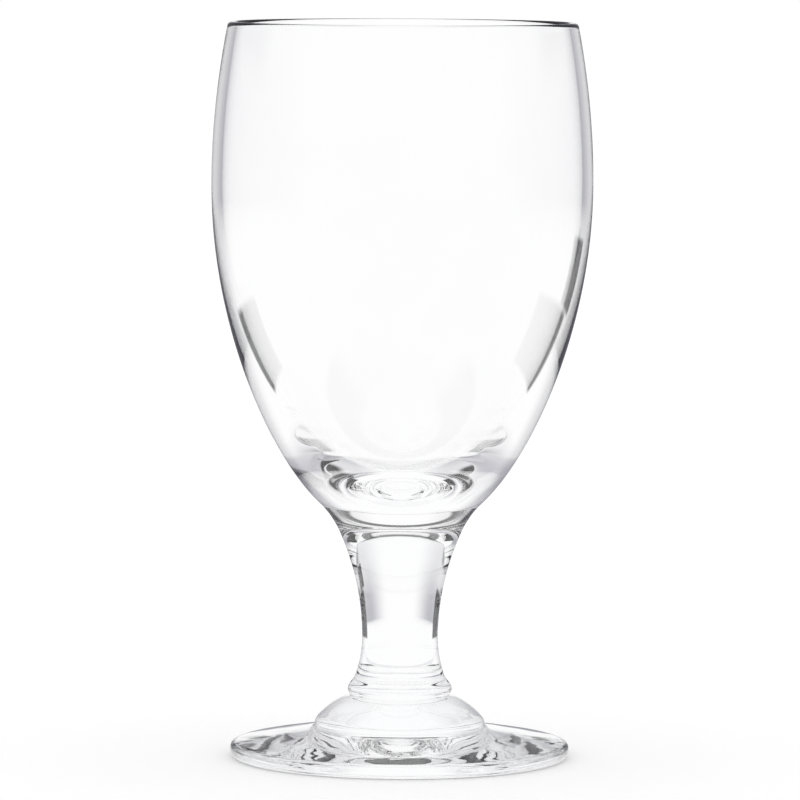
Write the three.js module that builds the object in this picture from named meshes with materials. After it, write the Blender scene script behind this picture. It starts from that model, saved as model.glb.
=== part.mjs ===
// Short-stemmed water goblet in clear glass: a blown bowl welded to a waisted solid stem, which stands
// on a rounded collar and a stepped foot. Millimetres, +Z up, resting on z = 0.
import * as THREE from 'three';

// Foot: a pressed disc with a stepped shoulder, dished like a shallow bell underneath so that it rests
// on a broad flat ring
const FOOT_RADIUS = 34.5;
const FOOT_HEIGHT = 12.5;
const EDGE_HEIGHT = 1.6;
const EDGE_UNDERCUT = 1.7;
const EDGE_CROWN = 1.2;
const EDGE_TOP = 3.0;
const REST_RING_WIDTH = 9.2;
const KICK_RISE = 2;
const KICK_FLAT = 2.7;
const KICK_CROWN = 7.9;
const KICK_SPREAD = 11.5;
const SHOULDER_RADIUS = 17.3;
const SHOULDER_HEIGHT = 7.6;
const SHOULDER_STEP = 1.6;
const SHOULDER_UNDERCUT = 0.5;
const SHOULDER_ROUND = 0.7;
const NECK_RADIUS = 10;
const NECK_SPREAD = 2.4;
const NECK_DROP = 0.24;

// Collar: the bead of glass between foot and stem
const COLLAR_HEIGHT = 3.7;
const COLLAR_RADIUS = 10.55;
const COLLAR_LIP = 0.1;
const COLLAR_BULGE_HEIGHT = 1.3;
const COLLAR_CROWN_HEIGHT = 2.6;

// Stem: solid, drawn in to a waist that lies below its middle
const STEM_LENGTH = 29.8;
const WAIST_RADIUS = 7.7;
const WAIST_HEIGHT = 8.2;
const STEM_FOOT_ARC = 23;
const STEM_BOWL_ARC = 52;

// Bowl: an egg shape, widest above its middle, on a solid stub that carries on the stem's curve
const BOWL_HEIGHT = 103.2;
const STUB_HEIGHT = 3.8;
const FLARE_ANGLE = THREE.MathUtils.degToRad(47);
const FLARE_FILLET = 3;
const FLARE_HANDLE = 16.5;
const BELLY_RADIUS = 38.6;
const BELLY_HEIGHT = 70.4;
const BELLY_HANDLE = 29;
const BELLY_WALL = 2.2;
const RIM_RADIUS = 35.5;
const RIM_THICKNESS = 2;
const FLOOR_THICKNESS = 9;
const FLOOR_ROUND = 4;
const FLOOR_ANGLE = THREE.MathUtils.degToRad(11);
const FLOOR_HANDLE = 20;
const CAVITY_HANDLE = 26;

// Fineness: facets round the axis, and how far a curved outline may bow out from its straight steps
const FACET_COUNT = 48;
const SPLIT_COUNT = 4;
const OUTLINE_BOW = 0.06;

// Radius of the waisted stem at a height above its lower end
function stemRadius(height) {
  const fromWaist = height - WAIST_HEIGHT;
  const arc = fromWaist < 0 ? STEM_FOOT_ARC : STEM_BOWL_ARC;
  return WAIST_RADIUS + arc - Math.sqrt(arc ** 2 - fromWaist ** 2);
}

// Angle on the stem's upper arc, seen from the arc's centre, at a height above the stem's lower end
function upperArcAngle(height) {
  return Math.PI - Math.asin((height - WAIST_HEIGHT) / STEM_BOWL_ARC);
}

// Splits a stretch of a curve until its steps are close enough, and adds the end of each step
function addSteps(points, curve, from, to) {
  const middle = (from + to) / 2;
  const chordMiddle = curve.getPoint(from).lerp(curve.getPoint(to), 0.5);
  if (curve.getPoint(middle).distanceTo(chordMiddle) > OUTLINE_BOW) {
    addSteps(points, curve, from, middle);
    addSteps(points, curve, middle, to);
  } else {
    points.push(curve.getPoint(to));
  }
}

function outlinePoints(outline) {
  const points = [outline.curves[0].getPoint(0)];
  for (const curve of outline.curves) {
    const splits = curve.isLineCurve ? 1 : SPLIT_COUNT;
    for (let i = 0; i < splits; i += 1) {
      addSteps(points, curve, i / splits, (i + 1) / splits);
    }
  }
  return points;
}

// Turns an outline of radius and height about the axis, and stands it on the given height
function turned(name, outline, color, base) {
  const geometry = new THREE.LatheGeometry(outlinePoints(outline), FACET_COUNT);
  geometry.rotateX(Math.PI / 2);
  const glass = new THREE.MeshStandardMaterial({ color, roughness: 0.04, metalness: 0 });
  const mesh = new THREE.Mesh(geometry, glass);
  mesh.name = name;
  mesh.position.z = base;
  return mesh;
}

function footOutline() {
  const restOuter = FOOT_RADIUS - EDGE_UNDERCUT;
  const restInner = restOuter - REST_RING_WIDTH;
  const crownRadius = FOOT_RADIUS - EDGE_CROWN;
  const creaseRadius = SHOULDER_RADIUS - SHOULDER_UNDERCUT;
  const creaseHeight = SHOULDER_HEIGHT - SHOULDER_STEP;
  const slope = (creaseHeight - EDGE_TOP) / (crownRadius - creaseRadius);
  const outline = new THREE.Path();
  outline.moveTo(0, KICK_RISE);
  outline.lineTo(KICK_FLAT, KICK_RISE);
  outline.bezierCurveTo(
    KICK_FLAT + KICK_CROWN, KICK_RISE,
    restInner - KICK_SPREAD, 0,
    restInner, 0,
  );
  outline.lineTo(restOuter, 0);
  outline.quadraticCurveTo(FOOT_RADIUS, 0, FOOT_RADIUS, EDGE_HEIGHT);
  outline.quadraticCurveTo(FOOT_RADIUS, EDGE_TOP - slope * EDGE_CROWN, crownRadius, EDGE_TOP);
  outline.lineTo(creaseRadius, creaseHeight);
  outline.quadraticCurveTo(SHOULDER_RADIUS, creaseHeight, SHOULDER_RADIUS, SHOULDER_HEIGHT);
  outline.bezierCurveTo(
    SHOULDER_RADIUS, SHOULDER_HEIGHT + SHOULDER_ROUND,
    NECK_RADIUS + NECK_SPREAD, FOOT_HEIGHT - NECK_DROP,
    NECK_RADIUS, FOOT_HEIGHT,
  );
  outline.lineTo(0, FOOT_HEIGHT);
  return outline;
}

function collarOutline() {
  const outline = new THREE.Path();
  outline.moveTo(0, 0);
  outline.lineTo(NECK_RADIUS, 0);
  outline.quadraticCurveTo(COLLAR_RADIUS, 0, COLLAR_RADIUS, COLLAR_BULGE_HEIGHT);
  outline.quadraticCurveTo(
    COLLAR_RADIUS, COLLAR_CROWN_HEIGHT,
    stemRadius(0) + COLLAR_LIP, COLLAR_HEIGHT,
  );
  outline.lineTo(0, COLLAR_HEIGHT);
  return outline;
}

function stemOutline() {
  const lowerSweep = Math.asin(WAIST_HEIGHT / STEM_FOOT_ARC);
  const outline = new THREE.Path();
  outline.moveTo(0, 0);
  outline.lineTo(stemRadius(0), 0);
  outline.absarc(
    WAIST_RADIUS + STEM_FOOT_ARC, WAIST_HEIGHT, STEM_FOOT_ARC,
    Math.PI + lowerSweep, Math.PI, true,
  );
  outline.absarc(
    WAIST_RADIUS + STEM_BOWL_ARC, WAIST_HEIGHT, STEM_BOWL_ARC,
    Math.PI, upperArcAngle(STEM_LENGTH), true,
  );
  outline.lineTo(0, STEM_LENGTH);
  return outline;
}

function bowlOutline() {
  const flareRadius = stemRadius(STEM_LENGTH + STUB_HEIGHT);
  const filletFoot = STUB_HEIGHT - FLARE_FILLET;
  const rimRound = RIM_THICKNESS / 2;
  const rimCentre = BOWL_HEIGHT - rimRound;
  const upperMiddle = (BELLY_HEIGHT + rimCentre) / 2;
  const cavityRadius = BELLY_RADIUS - BELLY_WALL;
  const floorRise = Math.tan(FLOOR_ANGLE) * FLOOR_ROUND / 2;
  const outline = new THREE.Path();
  outline.moveTo(0, 0);
  outline.lineTo(stemRadius(STEM_LENGTH), 0);
  outline.absarc(
    WAIST_RADIUS + STEM_BOWL_ARC, WAIST_HEIGHT - STEM_LENGTH, STEM_BOWL_ARC,
    upperArcAngle(STEM_LENGTH), upperArcAngle(STEM_LENGTH + filletFoot), true,
  );
  outline.quadraticCurveTo(
    flareRadius, STUB_HEIGHT,
    flareRadius + FLARE_FILLET * Math.sin(FLARE_ANGLE),
    STUB_HEIGHT + FLARE_FILLET * Math.cos(FLARE_ANGLE),
  );
  outline.bezierCurveTo(
    flareRadius + FLARE_HANDLE * Math.sin(FLARE_ANGLE),
    STUB_HEIGHT + FLARE_HANDLE * Math.cos(FLARE_ANGLE),
    BELLY_RADIUS, BELLY_HEIGHT - BELLY_HANDLE,
    BELLY_RADIUS, BELLY_HEIGHT,
  );
  outline.quadraticCurveTo(BELLY_RADIUS, upperMiddle, RIM_RADIUS, rimCentre);
  outline.absarc(RIM_RADIUS - rimRound, rimCentre, rimRound, 0, Math.PI, false);
  outline.quadraticCurveTo(cavityRadius, upperMiddle, cavityRadius, BELLY_HEIGHT);
  outline.bezierCurveTo(
    cavityRadius, BELLY_HEIGHT - CAVITY_HANDLE,
    FLOOR_ROUND + FLOOR_HANDLE * Math.cos(FLOOR_ANGLE),
    FLOOR_THICKNESS + floorRise + FLOOR_HANDLE * Math.sin(FLOOR_ANGLE),
    FLOOR_ROUND, FLOOR_THICKNESS + floorRise,
  );
  outline.quadraticCurveTo(FLOOR_ROUND / 2, FLOOR_THICKNESS, 0, FLOOR_THICKNESS);
  return outline;
}

const collarBase = FOOT_HEIGHT;
const stemBase = collarBase + COLLAR_HEIGHT;
const bowlBase = stemBase + STEM_LENGTH;

const goblet = new THREE.Group();
goblet.add(turned('foot', footOutline(), 0xe9eef0, 0));
goblet.add(turned('stem_collar', collarOutline(), 0xeef2f3, collarBase));
goblet.add(turned('stem', stemOutline(), 0xf1f4f5, stemBase));
goblet.add(turned('bowl', bowlOutline(), 0xf4f7f8, bowlBase));

export default goblet;
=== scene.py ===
import math

import bmesh
import bpy
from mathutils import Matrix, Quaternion, Vector


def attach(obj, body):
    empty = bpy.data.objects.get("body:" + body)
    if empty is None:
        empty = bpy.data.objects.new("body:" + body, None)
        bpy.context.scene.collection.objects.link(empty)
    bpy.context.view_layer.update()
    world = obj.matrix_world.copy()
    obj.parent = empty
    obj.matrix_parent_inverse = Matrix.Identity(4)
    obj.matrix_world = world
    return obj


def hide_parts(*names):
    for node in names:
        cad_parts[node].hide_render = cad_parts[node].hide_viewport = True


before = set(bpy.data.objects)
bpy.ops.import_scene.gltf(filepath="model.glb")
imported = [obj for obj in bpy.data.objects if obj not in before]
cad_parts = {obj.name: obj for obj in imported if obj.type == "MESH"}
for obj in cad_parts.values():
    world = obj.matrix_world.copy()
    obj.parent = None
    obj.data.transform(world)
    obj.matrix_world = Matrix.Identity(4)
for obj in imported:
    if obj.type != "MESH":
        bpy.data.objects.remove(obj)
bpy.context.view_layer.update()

# Foot: a disc of clear soda-lime glass, pressed in a mould and fire-polished, with a stepped shoulder.
# Its underside is domed, so that it stands on a flat ring, and the collar is fused to its neck.
MM = 0.001


def sweep(*handles, steps=24):
    """Points along the curve that the handles pull, each a radius and a height in millimetres."""
    points = []
    for step in range(steps + 1):
        row = [Vector(handle) for handle in handles]
        while len(row) > 1:
            row = [a.lerp(b, step / steps) for a, b in zip(row, row[1:])]
        points.append(row[0])
    return points


def place(tree, kind, inputs=(), **settings):
    """Adds a node. Inputs name its sockets, each with a value or with the output that feeds it."""
    node = tree.nodes.new(kind)
    for setting, value in settings.items():
        setattr(node, setting, value)
    for socket, value in dict(inputs).items():
        if isinstance(value, bpy.types.NodeSocket):
            tree.links.new(value, node.inputs[socket])
        else:
            node.inputs[socket].default_value = value
    return node


def math_node(tree, operation, *values):
    node = place(tree, "ShaderNodeMath", dict(enumerate(values)), operation=operation)
    return node.outputs[0]


def soft_step(tree, value, start, end, low=0.0, high=1.0):
    """Goes smoothly from low to high while the value goes from start to end."""
    node = place(tree, "ShaderNodeMapRange", {
        "Value": value, "From Min": start, "From Max": end, "To Min": low, "To Max": high,
    }, interpolation_type="SMOOTHSTEP")
    return node.outputs["Result"]


def glass_lathe():
    """Turns an outline of radius and height round the axis, with the mould's seams and the glass's waves."""
    tree = bpy.data.node_groups.new("glass_lathe", "GeometryNodeTree")
    for name, kind in (
        ("Outline", "Geometry"), ("Steps around", "Int"), ("Lower weld", "Float"), ("Upper weld", "Float"),
        ("Seam height", "Float"), ("Seam width", "Float"), ("Wave height", "Float"), ("Wave size", "Float"),
        ("Wave from", "Float"), ("Glass", "Material"), ("Weld", "Material"),
    ):
        tree.interface.new_socket(name, in_out="INPUT", socket_type="NodeSocket" + kind)
    tree.interface.new_socket("Piece", in_out="OUTPUT", socket_type="NodeSocketGeometry")
    given = tree.nodes.new("NodeGroupInput").outputs
    hub = 0.01

    drawn = place(tree, "GeometryNodeMeshToCurve", {"Mesh": given["Outline"]})
    position = place(tree, "GeometryNodeInputPosition").outputs[0]
    spot = place(tree, "ShaderNodeSeparateXYZ", {0: position}).outputs
    laid = place(tree, "ShaderNodeCombineXYZ", {
        "X": math_node(tree, "SUBTRACT", spot["X"], hub), "Y": math_node(tree, "MULTIPLY", spot["Z"], -1.0),
    })
    profile = place(tree, "GeometryNodeSetPosition", {
        "Geometry": drawn.outputs["Curve"], "Position": laid.outputs[0],
    })
    circle = place(tree, "GeometryNodeCurvePrimitiveCircle", {
        "Resolution": given["Steps around"], "Radius": hub,
    })
    path = place(tree, "GeometryNodeSetCurveNormal", {"Curve": circle.outputs["Curve"]}, mode="Z_UP")
    turned = place(tree, "GeometryNodeCurveToMesh", {
        "Curve": path.outputs["Curve"], "Profile Curve": profile.outputs["Geometry"],
    })
    closed = place(tree, "GeometryNodeMergeByDistance", {
        "Geometry": turned.outputs["Mesh"], "Distance": 1e-6,
    })

    below = math_node(tree, "ABSOLUTE", math_node(tree, "SUBTRACT", spot["Z"], given["Lower weld"]))
    above = math_node(tree, "ABSOLUTE", math_node(tree, "SUBTRACT", spot["Z"], given["Upper weld"]))
    at_weld = math_node(tree, "LESS_THAN", math_node(tree, "MINIMUM", below, above), 1e-5)

    off_seam = math_node(tree, "ABSOLUTE", spot["Y"])
    ridge = soft_step(tree, off_seam, 0.0, given["Seam width"], 1.0, 0.0)
    patchy = place(tree, "ShaderNodeTexNoise", {"Vector": position, "Scale": 420.0, "Detail": 1.0})
    broken = soft_step(tree, patchy.outputs["Fac"], 0.42, 0.62, 0.1, 1.0)
    seam = math_node(tree, "MULTIPLY", math_node(tree, "MULTIPLY", ridge, broken), given["Seam height"])
    swell = place(tree, "ShaderNodeTexNoise", {
        "Vector": position, "Scale": math_node(tree, "DIVIDE", 1.0, given["Wave size"]), "Detail": 1.0,
    })
    centred = math_node(tree, "SUBTRACT", swell.outputs["Fac"], 0.5)
    free = soft_step(tree, spot["Z"], given["Wave from"], math_node(tree, "ADD", given["Wave from"], 0.0015))
    wave = math_node(tree, "MULTIPLY", math_node(tree, "MULTIPLY", centred, given["Wave height"]), free)
    off_weld = math_node(tree, "SUBTRACT", 1.0, at_weld)
    lift = math_node(tree, "MULTIPLY", math_node(tree, "ADD", seam, wave), off_weld)
    outward = place(tree, "GeometryNodeInputNormal").outputs["Normal"]
    offset = place(tree, "ShaderNodeVectorMath", {0: outward, "Scale": lift}, operation="SCALE")
    formed = place(tree, "GeometryNodeSetPosition", {
        "Geometry": closed.outputs["Geometry"], "Offset": offset.outputs[0],
    })
    smooth = place(tree, "GeometryNodeSetShadeSmooth", {"Geometry": formed.outputs["Geometry"]})
    glazed = place(tree, "GeometryNodeSetMaterial", {
        "Geometry": smooth.outputs["Geometry"], "Material": given["Glass"],
    })
    welded = place(tree, "GeometryNodeSetMaterial", {
        "Geometry": glazed.outputs["Geometry"], "Selection": at_weld, "Material": given["Weld"],
    })
    real = place(tree, "GeometryNodeRealizeInstances", {"Geometry": welded.outputs["Geometry"]})
    place(tree, "NodeGroupOutput", {"Piece": real.outputs["Geometry"]})
    return tree


LATHE = glass_lathe()
CREASE = math.radians(35)


def turn(name, outline, **sizes):
    """A closed piece of glass turned from its outline, with the lathe's sizes given by their names."""
    corners = []
    for point in outline:
        if not corners or (point - corners[-1]).length > 1e-4:
            corners.append(point)
    drawing = bpy.data.meshes.new(name + "_outline")
    drawing.from_pydata(
        [(radius * MM, 0, height * MM) for radius, height in corners],
        [(i, i + 1) for i in range(len(corners) - 1)], [],
    )
    piece = bpy.data.objects.new(name, drawing)
    bpy.context.scene.collection.objects.link(piece)
    lathe = piece.modifiers.new("lathe", "NODES")
    lathe.node_group = LATHE
    for socket in LATHE.interface.items_tree:
        if socket.name in sizes:
            lathe[socket.identifier] = sizes[socket.name]
    formed = piece.evaluated_get(bpy.context.evaluated_depsgraph_get())
    mesh = bpy.data.meshes.new_from_object(formed)
    piece.modifiers.remove(lathe)
    piece.data = mesh
    bpy.data.meshes.remove(drawing)
    mesh.name = name

    shell = bmesh.new()
    shell.from_mesh(mesh)
    bmesh.ops.remove_doubles(shell, verts=shell.verts, dist=1e-7)
    bmesh.ops.recalc_face_normals(shell, faces=shell.faces)
    shell.to_mesh(mesh)
    shell.free()
    mesh.set_sharp_from_angle(angle=CREASE)
    return piece


def clear_glass(name, tint, deep_tint, smear, wave_size, wave_depth):
    """Clear glass whose tint, polish and surface all vary a little, as on a piece from the furnace."""
    glass = bpy.data.materials.new(name)
    glass.use_nodes = True
    tree = glass.node_tree
    tree.nodes.clear()
    where = place(tree, "ShaderNodeTexCoord").outputs["Object"]
    cords = place(tree, "ShaderNodeTexNoise", {"Vector": where, "Scale": 45.0, "Detail": 2.0})
    colour = place(tree, "ShaderNodeMix", {
        "Factor": soft_step(tree, cords.outputs["Fac"], 0.35, 0.65), 6: tint, 7: deep_tint,
    }, data_type="RGBA")
    breath = place(tree, "ShaderNodeTexNoise", {"Vector": where, "Scale": 160.0, "Detail": 4.0})
    polish = soft_step(tree, breath.outputs["Fac"], 0.4, 0.8, 0.0, smear)
    peel = place(tree, "ShaderNodeTexNoise", {"Vector": where, "Scale": 1 / wave_size, "Detail": 1.5})
    waves = place(tree, "ShaderNodeBump", {
        "Strength": 1.0, "Distance": wave_depth, "Height": peel.outputs["Fac"],
    })
    body = place(tree, "ShaderNodeBsdfPrincipled", {
        "Base Color": colour.outputs[2], "Roughness": polish, "IOR": 1.52, "Transmission Weight": 1.0,
        "Normal": waves.outputs["Normal"],
    })
    place(tree, "ShaderNodeOutputMaterial", {"Surface": body.outputs[0]})
    return glass


def fused_weld():
    """Where two pieces are fused no surface is left, so light passes straight on."""
    weld = bpy.data.materials.new("fused_weld")
    weld.use_nodes = True
    tree = weld.node_tree
    tree.nodes.clear()
    gone = place(tree, "ShaderNodeBsdfTransparent")
    place(tree, "ShaderNodeOutputMaterial", {"Surface": gone.outputs[0]})
    return weld


PRESSED_GLASS = clear_glass(
    "pressed_glass", (0.99, 0.99, 0.995, 1), (0.975, 0.98, 0.99, 1),
    smear=0.02, wave_size=0.005, wave_depth=0.00004,
)
FUSED_WELD = fused_weld()
NO_WELD = -1.0
FOOT_TOP = 12.5

foot_outline = (
    sweep((0, 2.0), (2.7, 2.0), steps=4)
    + sweep((2.7, 2.0), (10.6, 2.0), (12.1, 0), (23.6, 0), steps=50)
    + sweep((23.6, 0), (32.8, 0), steps=6)
    + sweep((32.8, 0), (34.5, 0), (34.5, 1.6), steps=14)
    + sweep((34.5, 1.6), (34.5, 2.78), (33.3, 3.0), steps=14)
    + sweep((33.3, 3.0), (18.6, 5.67), steps=24)
    + sweep((18.6, 5.67), (17.1, 5.945), (17.2, 7.1), steps=14)
    + sweep((17.2, 7.1), (17.3, 8.25), (12.4, 12.18), (10.6, 12.38), steps=36)
    + sweep((10.6, 12.38), (10.25, 12.42), (10.13, FOOT_TOP), steps=8)
    + [Vector((0, FOOT_TOP))]
)
foot = turn("foot_glass", foot_outline, **{
    "Steps around": 320, "Lower weld": NO_WELD, "Upper weld": FOOT_TOP * MM,
    "Seam height": 0.0, "Seam width": 0.001, "Wave height": 0.00015, "Wave size": 0.007, "Wave from": 0.002,
    "Glass": PRESSED_GLASS, "Weld": FUSED_WELD,
})
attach(foot, "root")
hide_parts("foot")

# Collar: the bead of glass where the hot stem is set down on the foot. It is clear soda-lime glass,
# fused to the foot below and to the stem above, and drawn in at both welds.
COLLAR_TOP = 16.2

collar_outline = (
    [Vector((0, FOOT_TOP))]
    + sweep((10.13, FOOT_TOP), (9.98, 12.6), (10.12, 12.85), steps=8)
    + sweep((10.12, 12.85), (10.4, 13.35), (10.55, 13.45), (10.55, 13.85), steps=12)
    + sweep((10.55, 13.85), (10.55, 14.75), (9.75, 15.45), (9.42, 15.95), steps=18)
    + sweep((9.42, 15.95), (9.335, 16.08), (9.27, COLLAR_TOP), steps=6)
    + [Vector((0, COLLAR_TOP))]
)
collar = turn("collar_glass", collar_outline, **{
    "Steps around": 320, "Lower weld": FOOT_TOP * MM, "Upper weld": COLLAR_TOP * MM,
    "Seam height": 0.0, "Seam width": 0.001, "Wave height": 0.0, "Wave size": 0.005, "Wave from": 0.0,
    "Glass": PRESSED_GLASS, "Weld": FUSED_WELD,
})
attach(collar, "root")
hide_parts("stem_collar")

# Stem: a solid waisted column of clear soda-lime glass, pressed in a two-part mould that leaves a fine
# broken seam down its left and right sides. It is fused to the collar and to the bowl's stub.
STEM_TOP = 46.0
WAIST_RADIUS = 7.7
WAIST_HEIGHT = 24.4


def waist(arc, low, high, steps):
    """The stem's side between two heights, on a round arc that touches the waist."""
    points = []
    for step in range(steps + 1):
        height = low + (high - low) * step / steps
        inward = math.sqrt(arc**2 - (height - WAIST_HEIGHT) ** 2)
        points.append(Vector((WAIST_RADIUS + arc - inward, height)))
    return points


STEM_FOOT_ARC = 23
STEM_BOWL_ARC = 52
stem_outline = (
    [Vector((0, COLLAR_TOP))]
    + sweep((9.27, COLLAR_TOP), (9.115, 16.483), (9.008, 16.75), (8.923, 17.0), steps=8)
    + waist(STEM_FOOT_ARC, 17.0, WAIST_HEIGHT, 24)
    + waist(STEM_BOWL_ARC, WAIST_HEIGHT, STEM_TOP, 60)
    + [Vector((0, STEM_TOP))]
)
stem = turn("stem_glass", stem_outline, **{
    "Steps around": 512, "Lower weld": COLLAR_TOP * MM, "Upper weld": STEM_TOP * MM,
    "Seam height": 0.00012, "Seam width": 0.0005, "Wave height": 0.0, "Wave size": 0.005, "Wave from": 0.0,
    "Glass": PRESSED_GLASS, "Weld": FUSED_WELD,
})
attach(stem, "root")
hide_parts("stem")

# Bowl: an egg-shaped cup of clear soda-lime glass, blown in a mould and fire-polished at the rim. Its
# wall thickens towards a solid stub, which is fused to the stem.
BLOWN_GLASS = clear_glass(
    "blown_glass", (0.997, 0.997, 0.998, 1), (0.99, 0.99, 0.995, 1),
    smear=0.01, wave_size=0.02, wave_depth=0.00002,
)
RIM_TOP = 149.2
RIM_ROUND = 1.0
RIM_CENTRE = RIM_TOP - RIM_ROUND
RIM_RADIUS = 34.5
rim_turns = [math.radians(a) for a in range(0, 181, 10)]

bowl_outline = (
    [Vector((0, STEM_TOP))]
    + waist(STEM_BOWL_ARC, STEM_TOP, 46.8, 4)
    + sweep((12.772, 46.8), (14.326, 49.8), (16.52, 51.846), steps=16)
    + sweep((16.52, 51.846), (26.394, 61.053), (38.6, 87.4), (38.6, 116.4), steps=90)
    + sweep((38.6, 116.4), (38.6, 132.3), (35.5, RIM_CENTRE), steps=36)
    + [
        Vector((RIM_RADIUS + RIM_ROUND * math.cos(a), RIM_CENTRE + RIM_ROUND * math.sin(a)))
        for a in rim_turns
    ]
    + sweep((33.5, RIM_CENTRE), (36.4, 132.3), (36.4, 116.4), steps=36)
    + sweep((36.4, 116.4), (36.4, 90.4), (23.633, 59.205), (4, 55.389), steps=90)
    + sweep((4, 55.389), (2, 55.0), (0, 55.0), steps=8)
)
bowl = turn("bowl_glass", bowl_outline, **{
    "Steps around": 320, "Lower weld": STEM_TOP * MM, "Upper weld": NO_WELD,
    "Seam height": 0.0, "Seam width": 0.001, "Wave height": 0.0, "Wave size": 0.005, "Wave from": 0.0,
    "Glass": BLOWN_GLASS, "Weld": FUSED_WELD,
})
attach(bowl, "root")
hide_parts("bowl")

# Table and light: a white table under an even white sky. Seen through glass, the sky behind is painted dark
# high up; seen through solid glass, table and sky are painted grey towards the sides, and black cards that
# the camera
# does not see paint dark lines: all painted shade. The outside of the glass shows a painted reflection of a
# narrow white band behind it, with painted grey beside and above.
scene = bpy.context.scene
WHITE = (1, 1, 1, 1)
# Painted shade: the grey that only light through solid glass sees towards the sides.
PAINTED_SIDE_SHADE = (0.46, 0.46, 0.5, 1)
# Painted reflection: the grey that only glossy rays see beside and above the white band behind.
PAINTED_REFLECTION_GREY = (0.2, 0.2, 0.23, 1)
SOLID_CROSSINGS = 2.5


def stand(name, mesh, material):
    mesh.materials.append(material)
    thing = bpy.data.objects.new(name, mesh)
    scene.collection.objects.link(thing)
    return thing


def solid_glass(tree):
    """One for light that has come through solid glass, nought once it has crossed the hollow bowl."""
    depth = place(tree, "ShaderNodeLightPath").outputs["Transmission Depth"]
    return math_node(tree, "LESS_THAN", depth, SOLID_CROSSINGS)


def paint_side_shade(tree, direction, share):
    """Painted shade: white, but grey out to the left and right behind the goblet, by a share, only for light
    through solid glass.
    """
    way = place(tree, "ShaderNodeSeparateXYZ", {0: direction}).outputs
    aside = soft_step(tree, math_node(tree, "ABSOLUTE", way["X"]), 0.2, 0.62)
    behind = math_node(tree, "MULTIPLY", soft_step(tree, way["Y"], -0.6, 0.05), solid_glass(tree))
    colour = place(tree, "ShaderNodeMix", {
        "Factor": math_node(tree, "MULTIPLY", math_node(tree, "MULTIPLY", aside, behind), share),
        6: WHITE, 7: PAINTED_SIDE_SHADE,
    }, data_type="RGBA")
    return colour.outputs[2]


def paint_reflection(tree, direction):
    """Painted reflection for the outside of the glass: white in a narrow band behind, painted grey beside
    and above it.
    """
    way = place(tree, "ShaderNodeSeparateXYZ", {0: direction}).outputs
    aside = math_node(tree, "ABSOLUTE", way["X"])
    off_white_band, far_side = soft_step(tree, aside, 0.03, 0.2), soft_step(tree, aside, 0.85, 0.6)
    over_white_band, overhead = soft_step(tree, way["Z"], 0.1, 0.2), soft_step(tree, way["Z"], 0.8, 0.65)
    beside = math_node(tree, "MULTIPLY", off_white_band, far_side)
    above = math_node(tree, "MULTIPLY", over_white_band, overhead)
    behind = soft_step(tree, way["Y"], 0.0, 0.3)
    colour = place(tree, "ShaderNodeMix", {
        "Factor": math_node(tree, "MULTIPLY", math_node(tree, "MAXIMUM", beside, above), behind),
        6: WHITE, 7: PAINTED_REFLECTION_GREY,
    }, data_type="RGBA")
    return colour.outputs[2]


white_paper = bpy.data.materials.new("white_paper")
white_paper.use_nodes = True
paper = white_paper.node_tree
paper.nodes.clear()
spread_out = place(paper, "ShaderNodeTexCoord").outputs["Object"]
grain = place(paper, "ShaderNodeTexNoise", {"Vector": spread_out, "Scale": 900.0, "Detail": 3.0})
shade = soft_step(paper, grain.outputs["Fac"], 0.3, 0.7, 0.885, 0.9)
lit = place(paper, "ShaderNodeBsdfDiffuse", {"Color": shade})
glow = place(paper, "ShaderNodeEmission", {"Strength": 0.16})
both = place(paper, "ShaderNodeAddShader", {0: lit.outputs[0], 1: glow.outputs[0]})
outward = place(paper, "ShaderNodeVectorMath", {0: spread_out}, operation="NORMALIZE")
reach_out = place(paper, "ShaderNodeVectorMath", {0: spread_out}, operation="LENGTH").outputs["Value"]
far_off = soft_step(paper, reach_out, 0.3, 1.5)
# Painted shade and reflection: rays through glass see the far table painted grey towards the sides, glossy
# rays see the painted reflection, and the camera and diffuse rays see the plain white table.
painted_shade_through_glass = place(paper, "ShaderNodeEmission", {
    "Color": paint_side_shade(paper, outward.outputs[0], far_off), "Strength": 1.0,
})
painted_reflection = place(paper, "ShaderNodeEmission", {
    "Color": paint_reflection(paper, outward.outputs[0]), "Strength": 1.0,
})
ray = place(paper, "ShaderNodeLightPath").outputs
open_or_painted_reflection = place(paper, "ShaderNodeMixShader", {
    0: ray["Is Glossy Ray"], 1: both.outputs[0], 2: painted_reflection.outputs[0],
})
seen = place(paper, "ShaderNodeMixShader", {
    0: ray["Is Transmission Ray"], 1: open_or_painted_reflection.outputs[0], 2: painted_shade_through_glass.outputs[0],
})
place(paper, "ShaderNodeOutputMaterial", {"Surface": seen.outputs[0]})

TABLE_REACH = 6.0
TABLE_GAP = 0.00005
table_mesh = bpy.data.meshes.new("table")
table_mesh.from_pydata(
    [(x * TABLE_REACH, y * TABLE_REACH, -TABLE_GAP) for x, y in ((-1, -1), (1, -1), (1, 1), (-1, 1))],
    [], [(0, 1, 2, 3)],
)
stand("table", table_mesh, white_paper)

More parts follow.
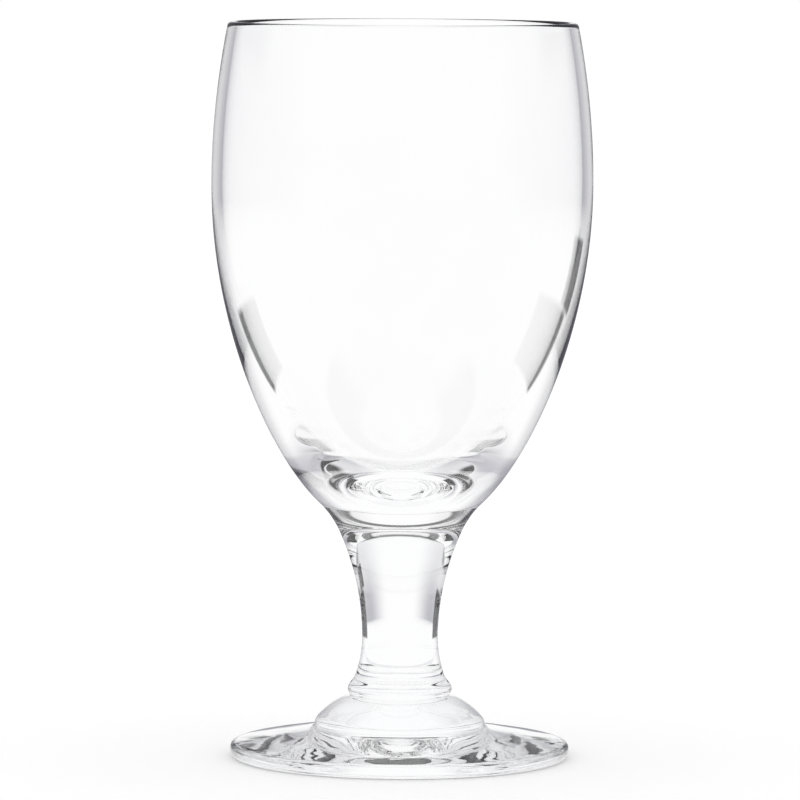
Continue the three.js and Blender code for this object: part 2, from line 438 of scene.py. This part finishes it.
# Painted shade: black cards seen only by light through solid glass, which draw dark lines in the glass; to
# all other rays they are clear.
painted_shade_card = bpy.data.materials.new("painted_shade_card")
painted_shade_card.use_nodes = True
shade_card_nodes = painted_shade_card.node_tree
shade_card_nodes.nodes.clear()
along = place(shade_card_nodes, "ShaderNodeSeparateXYZ", {
    0: place(shade_card_nodes, "ShaderNodeUVMap", uv_map="flag").outputs[0],
}).outputs
left_fade = soft_step(shade_card_nodes, along["X"], 0.0, 0.1)
right_fade = soft_step(shade_card_nodes, along["X"], 1.0, 0.9)
low_fade = soft_step(shade_card_nodes, along["Y"], 0.0, 0.1)
top_fade = soft_step(shade_card_nodes, along["Y"], 1.0, 0.9)
sideways = math_node(shade_card_nodes, "MULTIPLY", left_fade, right_fade)
upward = math_node(shade_card_nodes, "MULTIPLY", low_fade, top_fade)
cover = math_node(shade_card_nodes, "MULTIPLY", math_node(shade_card_nodes, "MULTIPLY", sideways, upward), solid_glass(shade_card_nodes))
clear = place(shade_card_nodes, "ShaderNodeBsdfTransparent")
black = place(shade_card_nodes, "ShaderNodeEmission", {"Strength": 0.0})
mixed = place(shade_card_nodes, "ShaderNodeMixShader", {0: cover, 1: clear.outputs[0], 2: black.outputs[0]})
place(shade_card_nodes, "ShaderNodeOutputMaterial", {"Surface": mixed.outputs[0]})

FLAG_ROWS = 12


def flag(name, near_low, near_high, far_low, far_high):
    """A bent card between four corners, each a bearing from straight behind, a distance and a height."""
    corners, panels, spread = [], [], []
    for row in range(FLAG_ROWS + 1):
        for column in range(FLAG_ROWS + 1):
            across, up = row / FLAG_ROWS, column / FLAG_ROWS
            near = Vector(near_low).lerp(Vector(near_high), up)
            far = Vector(far_low).lerp(Vector(far_high), up)
            degrees, reach, height = near.lerp(far, across)
            turn_by = math.radians(degrees)
            corners.append((reach * math.sin(turn_by), reach * math.cos(turn_by), height))
            spread.append((across, up))
    for row in range(FLAG_ROWS):
        for column in range(FLAG_ROWS):
            first = row * (FLAG_ROWS + 1) + column
            panels.append((first, first + FLAG_ROWS + 1, first + FLAG_ROWS + 2, first + 1))
    mesh = bpy.data.meshes.new(name)
    mesh.from_pydata(corners, [], panels)
    layer = mesh.uv_layers.new(name="flag")
    for loop in mesh.loops:
        layer.data[loop.index].uv = spread[loop.vertex_index]
    card = stand(name, mesh, painted_shade_card)
    card.visible_camera = False
    card.visible_diffuse = False
    card.visible_glossy = False
    card.visible_shadow = False


# Painted shade: five black cards that only rays through solid glass see, each drawing a dark line or patch
# in the glass.
flag("right_panel", (45, 0.12, 0.004), (45, 0.12, 0.062), (88, 0.12, 0.004), (88, 0.12, 0.06))
flag("left_panel", (-44, 0.12, 0.004), (-44, 0.12, 0.062), (-76, 0.12, 0.004), (-76, 0.12, 0.06))
flag("right_strip", (42, 0.12, 0.058), (42, 0.12, 0.092), (60, 0.12, 0.058), (60, 0.12, 0.092))
flag("right_high_shade_card", (46, 0.6, 0.26), (46, 0.6, 1.0), (138, 0.6, 0.37), (138, 0.6, 1.0))
flag("left_high_shade_card", (-46, 0.6, 0.27), (-46, 0.6, 1.0), (-132, 0.6, 0.37), (-132, 0.6, 1.0))

sky = bpy.data.worlds.new("white_sky")
scene.world = sky
sky.use_nodes = True
dome = sky.node_tree
dome.nodes.clear()
# Painted shade: for rays through glass the sky is painted dark in a ring high up behind, and grey towards
# the sides through solid glass; glossy rays see the painted reflection, and the camera and diffuse rays
# plain white.
bearing = place(dome, "ShaderNodeTexCoord").outputs["Generated"]
heading = place(dome, "ShaderNodeSeparateXYZ", {0: bearing}).outputs
rise = heading["Z"]
RING_BOTTOM = (35, 39)
RING_TOP = (56, 62)
OVERHEAD = 0.9
RING = 0.03
ring_share = soft_step(dome, rise, *[math.sin(math.radians(a)) for a in RING_BOTTOM], 0.0, 1.0 - RING)
over_share = soft_step(dome, rise, *[math.sin(math.radians(a)) for a in RING_TOP], 0.0, OVERHEAD - RING)
band = math_node(dome, "SUBTRACT", ring_share, over_share)
ring = math_node(dome, "MULTIPLY", band, soft_step(dome, heading["Y"], -0.5, -0.1))
level = math_node(dome, "SUBTRACT", 1.0, ring)
low_down = soft_step(dome, rise, 0.35, 0.02, 0.45, 1.0)
open_air = place(dome, "ShaderNodeBackground", {"Color": WHITE, "Strength": 1.0})
in_glass = place(dome, "ShaderNodeBackground", {
    "Color": paint_side_shade(dome, bearing, low_down), "Strength": level,
})
on_glass = place(dome, "ShaderNodeBackground", {"Color": paint_reflection(dome, bearing), "Strength": 1.0})
light_path = place(dome, "ShaderNodeLightPath").outputs
open_or_painted_reflection = place(dome, "ShaderNodeMixShader", {
    0: light_path["Is Glossy Ray"], 1: open_air.outputs[0], 2: on_glass.outputs[0],
})
chosen = place(dome, "ShaderNodeMixShader", {
    0: light_path["Is Transmission Ray"], 1: open_or_painted_reflection.outputs[0], 2: in_glass.outputs[0],
})
place(dome, "ShaderNodeOutputWorld", {"Surface": chosen.outputs[0]})

# Camera: a long lens a little above the rim, tilted down to the goblet's middle as in the photograph.
CAMERA_DISTANCE = 1.244
CAMERA_HEIGHT = 0.175
AIM = Vector((-0.00025, 0, 0.0727))
ROLL = 0.3
PIXELS_PER_METRE = 4934
PICTURE_WIDTH = 800
lens = bpy.data.cameras.new("camera")
camera = bpy.data.objects.new("camera", lens)
scene.collection.objects.link(camera)
camera.location = (AIM.x, -CAMERA_DISTANCE, CAMERA_HEIGHT)
sight = AIM - camera.location
camera.rotation_mode = "QUATERNION"
camera.rotation_quaternion = sight.to_track_quat("-Z", "Y") @ Quaternion((0, 0, 1), math.radians(ROLL))
lens.sensor_width = 36
lens.lens = PIXELS_PER_METRE * sight.length / PICTURE_WIDTH * lens.sensor_width
lens.clip_end = 50
scene.camera = camera

scene.view_settings.view_transform = "Standard"
scene.cycles.max_bounces = 32
scene.cycles.transmission_bounces = 32
scene.cycles.glossy_bounces = 24
scene.cycles.transparent_max_bounces = 64
